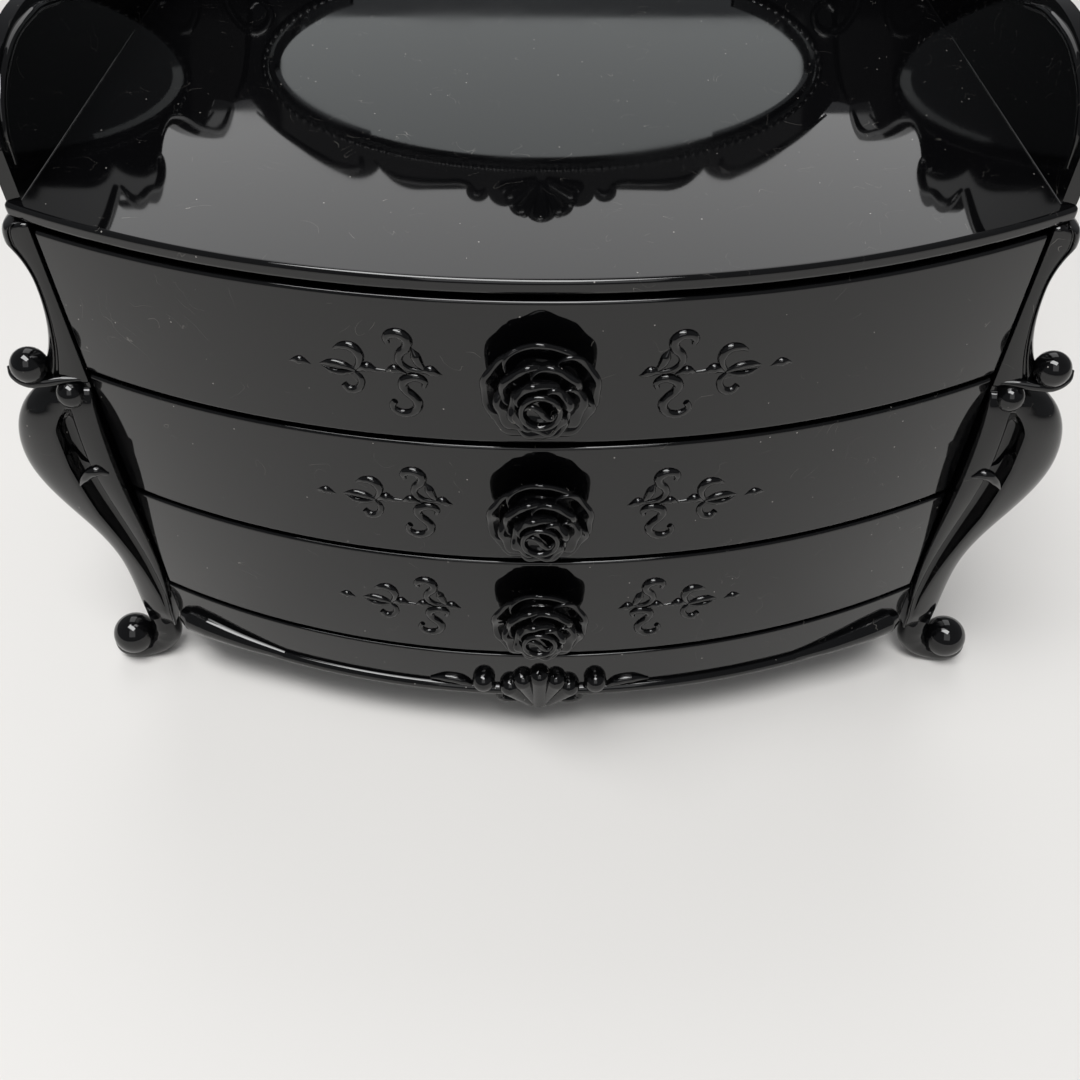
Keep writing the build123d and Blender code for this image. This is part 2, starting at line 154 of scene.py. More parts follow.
plastic, silver, zinc = blackGloss(), mirrorGlass(), zincSteel()
for name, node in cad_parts.items():
    finish = silver if name == "gallery_mirror" else zinc if "screw" in name else plastic
    for spot in node.material_slots:
        spot.material = finish
print("materials set")

# places read from the frame, in millimetres as every size of a piece below
bow = {"radius": 186.0, "wall": 2.6, "columns": 120}
levels = ("top", "middle", "bottom")
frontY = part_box("drawer_front_top")[0].y / mm
bowMiddle = frontY + bow["radius"]
topUnder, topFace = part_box("top_panel")[0].z / mm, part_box("top_panel")[1].z / mm
topHalf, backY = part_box("top_panel")[1].x / mm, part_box("top_panel")[1].y / mm
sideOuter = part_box("side_panel_right")[1].x / mm
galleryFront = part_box("gallery_wing_right")[1].y / mm
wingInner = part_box("gallery_wing_right")[0].x / mm
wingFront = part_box("gallery_wing_right")[0].y / mm


# the bowed face at x, or a face behind it
def bowY(x, behind=0):
    radius = bow["radius"] - behind
    return bowMiddle - math.sqrt(radius * radius - x * x)


def frontMiddle(level):
    low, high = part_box("drawer_front_" + level)
    return (low.z + high.z) / 2 / mm


def addObject(name, data):
    made = bpy.data.objects.new(name, data)
    bpy.context.collection.objects.link(made)
    return made


def linkMesh(name, points, faces):
    mesh = bpy.data.meshes.new(name)
    mesh.from_pydata([[c * mm for c in p] for p in points], [], faces)
    form = bmesh.new()
    form.from_mesh(mesh)
    bmesh.ops.recalc_face_normals(form, faces=form.faces)
    form.to_mesh(mesh)
    form.free()
    return addObject(name, mesh)


# turns an object with modifiers, or a curve, into a plain mesh object of the same name
def bake(source):
    graph = bpy.context.evaluated_depsgraph_get()
    mesh = bpy.data.meshes.new_from_object(source.evaluated_get(graph))
    name = source.name
    bpy.data.objects.remove(source)
    return addObject(name, mesh)


def joinPieces(name, parts):
    form = bmesh.new()
    for part in parts:
        form.from_mesh(part.data)
    mesh = bpy.data.meshes.new(name)
    form.to_mesh(mesh)
    form.free()
    for part in parts:
        bpy.data.objects.remove(part)
    return addObject(name, mesh)


def softEdges(piece, width):
    rounded = piece.modifiers.new("round", "BEVEL")
    rounded.width = width * mm
    rounded.segments = 3
    rounded.limit_method = "ANGLE"
    rounded.angle_limit = math.radians(35)
    rounded.harden_normals = True
    piece.data.shade_smooth()
    return bake(piece)


# every piece made here is black plastic
def handOver(piece, body, *nodes):
    piece.data.materials.clear()
    piece.data.materials.append(plastic)
    for face in piece.data.polygons:
        face.material_index = 0
    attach(piece, body)
    if nodes:
        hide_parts(*nodes)


# a geometry tree with named inputs for its sizes, and its first node
def newTree(name, **inputs):
    tree = bpy.data.node_groups.new(name, "GeometryNodeTree")
    for label, kind in {"Geometry": "Geometry", **inputs}.items():
        tree.interface.new_socket(label, in_out="INPUT", socket_type="NodeSocket" + kind)
    tree.interface.new_socket("Geometry", in_out="OUTPUT", socket_type="NodeSocketGeometry")
    return tree, addNode(tree, "NodeGroupInput")


def closeTree(tree, last):
    real = addNode(tree, "GeometryNodeRealizeInstances", None, {0: (last, 0)})
    paint = addNode(tree, "GeometryNodeSetMaterial", {"Material": plastic}, {0: (real, 0)})
    addNode(tree, "NodeGroupOutput", None, {0: (paint, 0)})
    return tree


def runTree(source, tree, **values):
    step = source.modifiers.new("nodes", "NODES")
    step.node_group = tree
    for item in tree.interface.items_tree:
        if item.in_out == "INPUT" and item.name in values:
            step[item.identifier] = values[item.name]
    return bake(source)


# round strokes along curves, as thick as each point says
def strokeTree():
    tree, start = newTree("strokes", Step="Float", Sides="Int")
    even = addNode(tree, "GeometryNodeResampleCurve", {"mode": "LENGTH"},
                   {"Curve": (start, 0), "Length": (start, "Step")})
    circle = addNode(tree, "GeometryNodeCurvePrimitiveCircle", {"Radius": 1.0},
                     {"Resolution": (start, "Sides")})
    width = addNode(tree, "GeometryNodeInputRadius")
    tube = addNode(tree, "GeometryNodeCurveToMesh", {"Fill Caps": True},
                   {"Curve": (even, 0), "Profile Curve": (circle, 0), "Scale": (width, 0)})
    smooth = addNode(tree, "GeometryNodeSetShadeSmooth", None, {0: (tube, 0)})
    return closeTree(tree, smooth)


strokes = strokeTree()


# smooth curves through points of x, y, z and radius
def curveFrom(name, paths, closed=False):
    data = bpy.data.curves.new(name, "CURVE")
    data.dimensions = "3D"
    for path in paths:
        spline = data.splines.new("BEZIER")
        spline.bezier_points.add(len(path) - 1)
        spline.use_cyclic_u = closed
        for point, (x, y, z, r) in zip(spline.bezier_points, path):
            point.co = (x * mm, y * mm, z * mm)
            point.radius = r * mm
            point.handle_left_type = point.handle_right_type = "AUTO"
    return addObject(name, data)


def drawStrokes(name, paths, step, sides):
    return runTree(curveFrom(name, paths), strokes, Step=step * mm, Sides=sides)


# each path and its mirror image across the middle
def bothSides(paths):
    return [[(side * x, y, z, r) for x, y, z, r in path] for path in paths for side in (-1, 1)]


def ballAt(name, spot, radius, squash=(1, 1, 1)):
    form = bmesh.new()
    bmesh.ops.create_uvsphere(form, u_segments=32, v_segments=20, radius=radius * mm)
    bmesh.ops.scale(form, vec=squash, verts=form.verts)
    bmesh.ops.translate(form, vec=Vector(spot) * mm, verts=form.verts)
    mesh = bpy.data.meshes.new(name)
    form.to_mesh(mesh)
    form.free()
    mesh.shade_smooth()
    return addObject(name, mesh)


# rows of points of equal length joined into a skin, with both ends closed
def skinRows(name, rows):
    count = len(rows[0])
    points = [p for row in rows for p in row]
    faces = []
    for i in range(len(rows) - 1):
        for j in range(count):
            k = (j + 1) % count
            faces.append((i * count + j, i * count + k, (i + 1) * count + k, (i + 1) * count + j))
    faces.append(tuple(range(count - 1, -1, -1)))
    faces.append(tuple((len(rows) - 1) * count + j for j in range(count)))
    return linkMesh(name, points, faces)


def bowColumns(half):
    return [half * (2 * i / bow["columns"] - 1) for i in range(bow["columns"] + 1)]


# a board bent to the bow, between two faces behind it
def bowedSlab(name, half, low, high, front=0, rear=bow["wall"]):
    corners = ((front, low), (front, high), (rear, high), (rear, low))
    return skinRows(name, [[(x, bowY(x, behind), z) for behind, z in corners] for x in bowColumns(half)])


# drawer fronts and the top, smooth along the bow, with softly rounded edges
edgeLook = {"frontRound": 0.7, "topRound": 0.9}
for level in levels:
    node = "drawer_front_" + level
    low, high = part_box(node)
    slab = bowedSlab("bowedFront_" + level, high.x / mm, low.z / mm, high.z / mm)
    handOver(softEdges(slab, edgeLook["frontRound"]), "drawer_" + level, node)
outline = [(x, bowY(x)) for x in bowColumns(topHalf)] + [(topHalf, backY), (-topHalf, backY)]
topBoard = skinRows("bowedTop", [[(x, y, z) for x, y in outline] for z in (topUnder, topFace)])
handOver(softEdges(topBoard, edgeLook["topRound"]), "chest", "top_panel")
print("bowed boards made")

# raised scrollwork on each drawer: x out from the middle, z up from the middle of the front, radius
scrollwork = {"sink": 0.1, "paths": {
    "tipLeaf": [(41.4, -0.3, 0.1), (39.5, 0.2, 0.85), (37.5, -0.5, 0.1)],
    "leafUpper": [(36.3, 0.0, 0.1), (34.3, 0.5, 0.7), (32.2, 0.3, 0.75), (30.2, -0.5, 0.4)],
    "leafLower": [(36.0, -0.3, 0.1), (34.1, -1.1, 0.6), (32.2, -1.2, 0.6), (30.3, -0.7, 0.4)],
    "curlUpper": [(33.3, 3.4, 0.3), (31.8, 4.2, 0.75), (30.2, 4.1, 0.9), (29.3, 2.9, 0.9),
                  (29.3, 1.4, 0.7), (30.1, -0.1, 0.4)],
    "curlLower": [(30.4, -0.8, 0.4), (29.5, -2.0, 0.6), (29.6, -3.4, 0.7), (30.6, -4.5, 0.75),
                  (31.8, -4.5, 0.75), (32.5, -3.6, 0.6)],
    "link": [(29.9, -0.5, 0.3), (28.2, 0.4, 1.0), (26.9, 0.0, 0.5), (25.2, -0.1, 0.3)],
    "bead": [(25.0, -0.1, 0.3), (23.7, 0.5, 0.9), (22.6, 0.1, 0.5), (21.8, -0.3, 0.3)],
    "tallUpper": [(24.3, 5.6, 0.5), (24.4, 6.7, 0.75), (22.9, 7.6, 0.9), (21.3, 6.8, 0.95), (21.2, 5.3, 0.9),
                  (22.5, 3.6, 0.8), (22.7, 2.2, 0.7), (21.7, 1.0, 0.6), (20.2, 0.5, 0.5), (19.0, 0.5, 0.4)],
    "innerLeaf": [(20.5, 5.0, 0.1), (20.0, 3.4, 0.9), (19.5, 2.0, 0.8), (18.8, 0.9, 0.4)],
    "tallLower": [(19.1, -2.8, 0.45), (18.9, -1.7, 0.65), (20.0, -0.9, 0.8), (21.4, -1.1, 0.9),
                  (22.5, -2.2, 0.9), (22.2, -3.6, 0.85), (21.0, -4.9, 0.85), (20.3, -6.3, 0.9),
                  (20.8, -7.7, 0.85), (22.3, -8.6, 0.8), (23.9, -8.3, 0.7), (24.7, -7.3, 0.6),
                  (24.2, -6.2, 0.6)],
    "innerTip": [(19.3, 0.4, 0.4), (17.8, 0.7, 0.95), (16.7, 0.1, 0.6), (15.8, -0.1, 0.1)],
}}
for level in levels:
    paths = []
    for path in scrollwork["paths"].values():
        paths.append([(x, bowY(x) + scrollwork["sink"], frontMiddle(level) + z, r) for x, z, r in path])
    carving = drawStrokes("scrollwork_" + level, bothSides(paths), step=0.25, sides=10)
    handOver(carving, "drawer_" + level)
print("scrollwork made")

# rose knob, built facing +Z: terraces of dished petals, each tucked under the next, round a bud
roseLook = {
    "wave": 0.4, "waveTurn": 3.3, "waveShift": 9, "pleat": 0.2, "pleatTurn": 8.5, "pleatShift": 5,
    "lean": 0.7, "tipRound": 0.05, "endRound": 0.24, "lip": 0.75, "lipRound": 0.3, "tuck": 0.2,
    "bands": (
        {"count": 5, "start": 0.32, "halfWidth": 52, "inner": 4.6, "reach": 9.9,
         "high": 4.6, "dish": 1.2, "low": 1.9, "under": -3.2},
        {"count": 5, "start": 0.95, "halfWidth": 54, "inner": 2.8, "reach": 7.5,
         "high": 6.9, "dish": 1.1, "low": 3.0, "under": -1.0},
        {"count": 4, "start": 0.20, "halfWidth": 66, "inner": 1.6, "reach": 5.3,
         "high": 8.5, "dish": 0.9, "low": 4.8, "under": -0.8},
    ),
    "calyx": [(4.6, 0.0), (4.6, 1.6), (5.4, 2.1), (6.6, 2.9), (6.8, 3.6),
              (5.4, 4.8), (3.8, 5.9), (2.6, 6.8), (1.4, 7.2), (0.2, 7.3)],
    "cup": [(2.9, 4.0), (3.1, 7.8), (3.5, 8.6), (3.5, 9.0), (3.3, 9.3), (3.0, 9.4),
            (2.7, 9.2), (2.5, 8.7), (2.3, 8.1), (1.2, 7.8), (0.1, 7.8)],
    "swirl": [(-2.6, 0.4, 8.5, 0.35), (-1.5, 1.2, 8.8, 0.5), (-0.3, 0.6, 8.9, 0.55),
              (0.5, -0.5, 8.9, 0.55), (1.6, -1.2, 8.8, 0.5), (2.6, -0.3, 8.5, 0.35)],
}


# petals set in a ring about +Z
def ringTree():
    tree, start = newTree("petalRing", Count="Int", StartTurn="Float")
    line = addNode(tree, "GeometryNodeMeshLine", {"Offset": (0, 0, 0)}, {"Count": (start, "Count")})
    index = addNode(tree, "GeometryNodeInputIndex")
    step = addNode(tree, "ShaderNodeMath", {"operation": "DIVIDE", 0: 2 * math.pi}, {1: (start, "Count")})
    turn = addNode(tree, "ShaderNodeMath", {"operation": "MULTIPLY_ADD"},
                   {0: (index, 0), 1: (step, 0), 2: (start, "StartTurn")})
    spin = addNode(tree, "ShaderNodeCombineXYZ", None, {2: (turn, 0)})
    petals = addNode(tree, "GeometryNodeInstanceOnPoints", None,
                     {"Points": (line, 0), "Instance": (start, 0), "Rotation": (spin, 0)})
    return closeTree(tree, petals)


# one petal: s runs across it from -1 to 1, each row from its root over the rounded lip and down
def petalMesh(name, band):
    across, up = 28, 7
    lip, bend = roseLook["lip"], roseLook["lip"] * roseLook["lipRound"]
    inner, under, start = band["inner"], band["under"], band["start"]
    rows = []
    for i in range(across + 1):
        s = 2 * i / across - 1
        angle = math.radians(band["halfWidth"]) * s
        pleat = roseLook["pleat"] * math.sin(roseLook["pleatTurn"] * s + start * roseLook["pleatShift"])
        wave = roseLook["wave"] * math.sin(roseLook["waveTurn"] * s + start * roseLook["waveShift"])
        edge = band["reach"] * (1 - roseLook["tipRound"] * s ** 2 - roseLook["endRound"] * s ** 6) + pleat
        rise = band["high"] + roseLook["lean"] * s + wave
        path = []
        for j in range(up + 1):
            t = j / up
            path.append((inner + (edge - lip - inner) * t, rise + pleat * t - band["dish"] * (1 - t ** 2)))
        rise += pleat
        path += [(edge - bend, rise - bend), (edge, rise - lip),
                 (edge + under * roseLook["tuck"], rise - lip * 2), (edge + under, band["low"])]
        rows.append([(r * math.cos(angle), r * math.sin(angle), z) for r, z in path])
    # both ends drop to the petal's foot, and one face closes it below
    for end in (0, -1):
        side = [(x, y, min(z, band["low"])) for x, y, z in rows[end]]
        rows.insert(0 if end == 0 else len(rows), side)
    count = len(rows[0])
    points = [p for row in rows for p in row]
    faces = []
    for i in range(len(rows) - 1):
        for j in range(count - 1):
            k = i * count + j
            faces.append((k, k + count, k + count + 1, k + 1))
    rim = [i * count for i in range(len(rows))] + [(len(rows) - 1) * count + j for j in range(1, count)]
    rim += [i * count + count - 1 for i in range(len(rows) - 2, -1, -1)] + list(range(count - 2, 0, -1))
    faces.append(tuple(rim))
    leaf = linkMesh(name, points, faces)
    soft = leaf.modifiers.new("soft", "SUBSURF")
    soft.levels = soft.render_levels = 1
    leaf.data.shade_smooth()
    return bake(leaf)


def turnedForm(name, profile):
    around = 64
    angles = [2 * math.pi * k / around for k in range(around)]
    made = skinRows(name, [[(r * math.cos(a), r * math.sin(a), z) for a in angles] for r, z in profile])
    made.data.shade_smooth()
    return made


# petals on a calyx, round a bud that is an open cup with a swirl across it
petalRing = ringTree()
for level in levels:
    parts = []
    for band in roseLook["bands"]:
        petal = petalMesh("petal", band)
        parts.append(runTree(petal, petalRing, Count=band["count"], StartTurn=band["start"]))
    parts += [turnedForm("calyx", roseLook["calyx"]), turnedForm("cup", roseLook["cup"])]
    parts.append(drawStrokes("swirl", [roseLook["swirl"]], step=0.2, sides=14))
    rose = joinPieces("rose_" + level, parts)
    onFront = Matrix.Translation((0, frontY * mm, frontMiddle(level) * mm))
    rose.data.transform(onFront @ Matrix.Rotation(math.radians(90), 4, "X"))
    handOver(rose, "drawer_" + level, "rose_knob_" + level)
print("roses made")

# cabriole posts: the same rules as the solids, cut finer, with a strip and a flute down the leg;
# grow and close give where a width or depth starts, over how much height, and its least share
post = {
    "depth": 9.0, "proud": 1.0, "softEdge": 0.3, "heelTurn": 4.0, "heelHeight": 36.0,
    "heelSteps": 6, "fluteSteps": 10, "roundSteps": 40, "legSteps": 90, "bracketSteps": 60,
    "legFoot": 7.0, "footShare": 0.5, "footTaper": 18.0, "shaftTop": 79.0, "legTop": 81.5,
    "capDrops": (2.1, 1.3, 0.7, 0.3, 0.05), "capReach": 6.0,
    "ankleHeight": 20.0, "ankleReach": 8.8, "ankleDepth": 7.0, "ankleLean": 0.8,
    "kneeHeight": 64.0, "kneeReach": 19.0, "kneeDepth": 10.6, "kneeLean": 1.6, "kneeFall": 1.8,
    "strip": 4.4, "stripGrow": (14, 50, 0.15), "stripMost": 0.6,
    "flute": 4.2, "fluteGrow": (10, 40, 0.1), "fluteClose": (78, -5, 0.05), "fluteMost": 0.66,
    "fluteDepth": 3.8, "depthGrow": (14, 36, 0), "depthClose": (77.5, -4, 0),
    "rim": 0.35, "rimSide": 0.1, "rimDrop": 0.3,
    "waist": 3.5, "waistHeight": 103.6, "flare": 6.0, "turnIn": 4.0,
    "bracketInset": 0.8, "bracketStrip": 0.6, "grooveWidth": 0.6, "grooveDepth": 0.5,
    "scrollRadius": 3.4, "scrollReach": 9.9, "scrollHeight": 86.5, "scrollLean": 3.2, "scrollBase": 82.75,
    "beadRadius": 2.8, "beadReach": 3.9, "beadSink": 0.7, "beadLift": 0.4,
    "footRadius": 4.9, "footReach": 12.8, "footLean": 2.6, "footHeight": 6.3,
    "padReach": 2.0, "padBack": 2.6, "padRise": 5.0, "padShape": (3.6, 3.4, 7),
    "neckReach": 4.2, "neckSink": 1.0, "neckDown": 4.0, "neckUp": 1.0, "neckRound": 0.3,
    "leafTip": [(8.6, 0.6, 58.6, 0.2), (6.2, 0.2, 61.6, 1.0), (3.6, 0.0, 63.4, 1.2), (1.3, 0.1, 62.6, 0.4)],
    "volute": [(6.0, 5.6, 12.6, 2.4), (5.1, 5.5, 9.4, 3.3), (5.5, 5.2, 6.0, 3.4), (7.4, 4.4, 3.6, 3.0),
               (10.2, 3.4, 2.5, 2.3), (13.2, 2.8, 2.1, 1.9), (15.8, 2.9, 2.5, 1.5), (17.2, 3.6, 3.8, 0.9),
               (17.5, 4.4, 5.2, 0.3)],
    "hook": [(1.2, 3.6, 83.4, 0.4), (4.5, 3.2, 83.5, 0.9), (8.0, 2.6, 83.4, 1.0), (11.0, 2.4, 83.6, 1.0),
             (12.9, 2.6, 85.0, 0.8), (13.4, 3.0, 86.8, 0.3)],
}
postFront = bowY(sideOuter) - post["proud"]
postMiddle = postFront + post["depth"] / 2
kneeFront = postMiddle - post["kneeLean"] - post["kneeDepth"] / 2


# share from least to 1 over a run of height, which is negative where the share falls
def ramp(height, start, run, least):
    return min(1, max(least, (height - start) / run))


def legReach(height):
    if height > post["kneeHeight"]:
        rise = (height - post["kneeHeight"]) / (post["legTop"] - post["kneeHeight"])
        return post["capReach"] + (post["kneeReach"] - post["capReach"]) * math.sqrt(max(0, 1 - rise ** 2))
    if height > post["ankleHeight"]:
        rise = (height - post["ankleHeight"]) / (post["kneeHeight"] - post["ankleHeight"])
        swell = ((1 - math.cos(math.pi * rise)) / 2) ** post["kneeFall"]
        return post["ankleReach"] + (post["kneeReach"] - post["ankleReach"]) * swell
    return post["ankleReach"]


# hollow below the waist, flare above it, turned in under the top
def bracketReach(height):
    flareTop = topUnder - post["turnIn"]
    if height > flareTop:
        rise = (height - flareTop) / post["turnIn"]
        return post["waist"] + (post["flare"] - post["waist"]) * math.sqrt(max(0, 1 - rise ** 3))
    far, wide = flareTop - post["waistHeight"], post["flare"] - post["waist"]
    if height < post["waistHeight"]:
        far, wide = post["waistHeight"] - post["scrollBase"], post["scrollReach"] - post["waist"]
    radius = (far ** 2 + wide ** 2) / (2 * wide)
    return post["waist"] + radius - math.sqrt(radius ** 2 - (height - post["waistHeight"]) ** 2)


# flat strip on the inner side of the face, U-shaped flute, then a half ellipse
def postSection(height, reach, depth, lean, flat, wide, deep):
    heel = sideOuter + post["heelTurn"] * max(0, 1 - height / post["heelHeight"]) ** 2
    room = sideOuter + reach - heel
    flat = min(flat, post["stripMost"] * room)
    edge = heel + flat
    far = edge + min(wide, post["fluteMost"] * room - flat)
    middle = postMiddle - lean
    front, rear = middle - depth / 2, middle + depth / 2
    soft, rim, rimSide = post["softEdge"], post["rim"], post["rimSide"]
    nip = min(rim, deep)
    dropped = front + nip * post["rimDrop"]
    row = [(heel, rear - depth * k / post["heelSteps"]) for k in range(1, post["heelSteps"])]
    row += [(heel, front + soft), (heel + soft, front), (heel + flat / 2, front), (edge - rim, front)]
    row.append((edge - rimSide, dropped))
    for k in range(post["fluteSteps"] + 1):
        turn = math.pi * k / post["fluteSteps"]
        across = (far - edge) * (1 - math.cos(turn)) / 2
        row.append((edge + across, front + nip + (deep - nip) * math.sin(turn) ** 0.5))
    row.append((far + rimSide, dropped))
    for k in range(1, post["roundSteps"]):
        turn = math.radians(-90 + 180 * k / post["roundSteps"])
        row.append((far + (sideOuter + reach - far) * math.cos(turn), middle + depth / 2 * math.sin(turn)))
    row += [(edge, rear), (heel + soft, rear)]
    return [(x, y, height) for x, y in row]


def legForm():
    run = post["shaftTop"] - post["legFoot"]
    heights = [post["legFoot"] + run * k / post["legSteps"] for k in range(post["legSteps"] + 1)]
    heights += [post["legTop"] - drop for drop in post["capDrops"]]
    rows = []
    for height in heights:
        reach = legReach(height)
        swell = (reach - post["ankleReach"]) / (post["kneeReach"] - post["ankleReach"])
        taper = min(1, post["footShare"] + (height - post["legFoot"]) / post["footTaper"])
        depth = (post["ankleDepth"] + (post["kneeDepth"] - post["ankleDepth"]) * swell) * taper
        lean = post["ankleLean"] + (post["kneeLean"] - post["ankleLean"]) * swell
        flat = post["strip"] * ramp(height, *post["stripGrow"])
        wide = post["flute"] * ramp(height, *post["fluteGrow"]) * math.sqrt(ramp(height, *post["fluteClose"]))
        fade = ramp(height, *post["depthGrow"]) * math.sqrt(ramp(height, *post["depthClose"]))
        rows.append(postSection(height, reach, depth, lean, flat, wide, post["fluteDepth"] * fade))
    made = skinRows("leg", rows)
    made.data.shade_smooth()
    return made


def bracketForm():
    inset = post["bracketInset"]
    rows = []
    for k in range(post["bracketSteps"] + 1):
        height = post["scrollBase"] + (topUnder - post["scrollBase"]) * k / post["bracketSteps"]
        reach = bracketReach(height)
        rows.append(postSection(height, reach, post["depth"] - inset, -inset / 2,
                                reach * post["bracketStrip"], post["grooveWidth"], post["grooveDepth"]))
    made = skinRows("bracket", rows)
    made.data.shade_smooth()
    return made


# block between leg and bracket
def neckForm():
    inner, outer = sideOuter, sideOuter + post["neckReach"]
    front, rear = postFront + post["neckSink"], postFront + post["depth"]
    corners = ((inner, front), (outer, front), (outer, rear), (inner, rear))
    ends = (post["legTop"] - post["neckDown"], post["scrollBase"] + post["neckUp"])
    return softEdges(skinRows("neck", [[(x, y, z) for x, y in corners] for z in ends]), post["neckRound"])


def postParts():
    scrollSpot = (sideOuter + post["scrollReach"], postMiddle - post["scrollLean"], post["scrollHeight"])
    beadHeight = post["scrollBase"] - post["beadRadius"] + post["beadLift"]
    beadSpot = (sideOuter + post["beadReach"], postFront + post["beadSink"], beadHeight)
    footSpot = (sideOuter + post["footReach"], postMiddle - post["footLean"], post["footHeight"])
    parts = [legForm(), bracketForm(), ballAt("scrollBall", scrollSpot, post["scrollRadius"]),
             ballAt("bead", beadSpot, post["beadRadius"]), ballAt("footBall", footSpot, post["footRadius"])]
    # a pad behind the post over each screw
    for height in (post["kneeHeight"], post["scrollHeight"] + post["padRise"]):
        padSpot = (sideOuter + post["padReach"], postMiddle + post["padBack"], height)
        parts.append(ballAt("screwPad", padSpot, 1, post["padShape"]))
    paths = []
    for path in (post["leafTip"], post["volute"], post["hook"]):
        paths.append([(sideOuter + x, kneeFront + y, z, r) for x, y, z, r in path])
    return parts + [neckForm(), drawStrokes("postCarving", paths, step=0.3, sides=20)]


flip = Matrix.Diagonal((-1, 1, 1, 1))
toRear = Matrix.Translation((0, (postFront + backY) * mm, 0)) @ Matrix.Diagonal((1, -1, 1, 1))
postMoves = {"front_right": Matrix(), "front_left": flip, "rear_right": toRear, "rear_left": flip @ toRear}
for name, move in postMoves.items():
    made = joinPieces("cabriole_" + name, postParts())
    made.data.transform(move)
    if move.determinant() < 0:
        made.data.flip_normals()
    handOver(made, "chest", "corner_post_" + name)
print("posts made")


# flutes of a shell: straight swelling strokes with round ends, spread like a fan
def fanPaths(y, z, lobes, reach, root, spread, tip):
    look = {"middleSlim": 0.75, "sideSlim": 0.45, "shorten": 0.09, "tipTurn": 88, "steps": 6, "tipSteps": 5}
    paths = []
    for lobe in range(lobes):
        angle = math.radians(spread * (lobe / (lobes - 1) - 0.5))
        slim = look["middleSlim"] if lobe == lobes // 2 else look["sideSlim"]
        length = reach - tip - look["shorten"] * reach * abs(2 * lobe / (lobes - 1) - 1)
        path = []
        for k in range(look["steps"] + 1):
            share = k / look["steps"]
            path.append((root + (length - root) * share, tip * (slim + (1 - slim) * share)))
        for k in range(1, look["tipSteps"] + 1):
            bend = math.radians(look["tipTurn"] * k / look["tipSteps"])
            path.append((length + tip * math.sin(bend), tip * math.cos(bend)))
        paths.append([(along * math.sin(angle), y, z + along * math.cos(angle), r) for along, r in path])
    return paths


# apron: bowed board with a rail behind, rod along its lower edge, leaf tips, shell, balls and curls;
# tip is x, z, radius, rodLeaf the same from the rod's end, and curl has how far it stands proud after x
apron = {
    "base": 12.0, "high": 25.5, "edgeRound": 0.5,
    "railFront": 1.0, "railRear": 8.6, "railShort": 3.5, "railLow": 23.1, "railHigh": 25.1,
    "rodRadius": 1.4, "rodHeight": 13.6, "rodShort": 4.5, "rodSteps": 40,
    "tipProud": 0.2, "tip": [(14.5, 14.2, 0.5), (17.0, 16.0, 1.1), (20.5, 16.6, 1.0), (24.0, 15.9, 0.2)],
    "rodLeaf": [(-22, 13.8, 1.3), (-12, 14.6, 2.2), (-4, 15.4, 2.9), (0.5, 15.8, 3.0),
                (2.6, 16.0, 2.0), (3.4, 16.0, 0.3)],
    "shellProud": 0.3, "shellDrop": 5.4,
    "shell": {"lobes": 5, "reach": 14.6, "root": 3.0, "spread": 72, "tip": 2.45},
    "ballX": 12.2, "ballRadius": 2.5, "ballProud": 0.6, "ballRise": 3.4,
    "curl": [(4.0, 0.4, 10.4, 0.5), (6.5, 0.4, 10.6, 0.9), (8.6, 0.2, 11.6, 1.1), (8.2, 0.2, 13.0, 0.6)],
}
board = softEdges(bowedSlab("apronBoard", sideOuter, apron["base"], apron["high"]), apron["edgeRound"])
rail = bowedSlab("apronRail", sideOuter - apron["railShort"], apron["railLow"], apron["railHigh"],
                 apron["railFront"], apron["railRear"])
rodEnd = sideOuter - apron["rodShort"]
rodColumns = [rodEnd * (2 * k / apron["rodSteps"] - 1) for k in range(apron["rodSteps"] + 1)]
rod = [(x, bowY(x), apron["rodHeight"], apron["rodRadius"]) for x in rodColumns]
tips = [[(x, bowY(x) - apron["tipProud"], z, r) for x, z, r in apron["tip"]],
        [(rodEnd + x, bowY(rodEnd + x), z, r) for x, z, r in apron["rodLeaf"]]]
shell = fanPaths(frontY - apron["shellProud"], apron["base"] - apron["shellDrop"], **apron["shell"])
parts = [board, rail, drawStrokes("rod", [rod], step=1.0, sides=20),
         drawStrokes("tips", bothSides(tips), step=0.3, sides=16),
         drawStrokes("shell", shell, step=0.25, sides=28)]
ballY, ballZ = bowY(apron["ballX"]) - apron["ballProud"], apron["rodHeight"] + apron["ballRise"]
for side in (-1, 1):
    parts.append(ballAt("apronBall", (side * apron["ballX"], ballY, ballZ), apron["ballRadius"]))
curl = [(x, frontY - proud, z, r) for x, proud, z, r in apron["curl"]]
parts.append(drawStrokes("curls", bothSides([curl]), step=0.25, sides=14))
handOver(joinPieces("apronCarved", parts), "chest", "front_apron")
print("apron made")

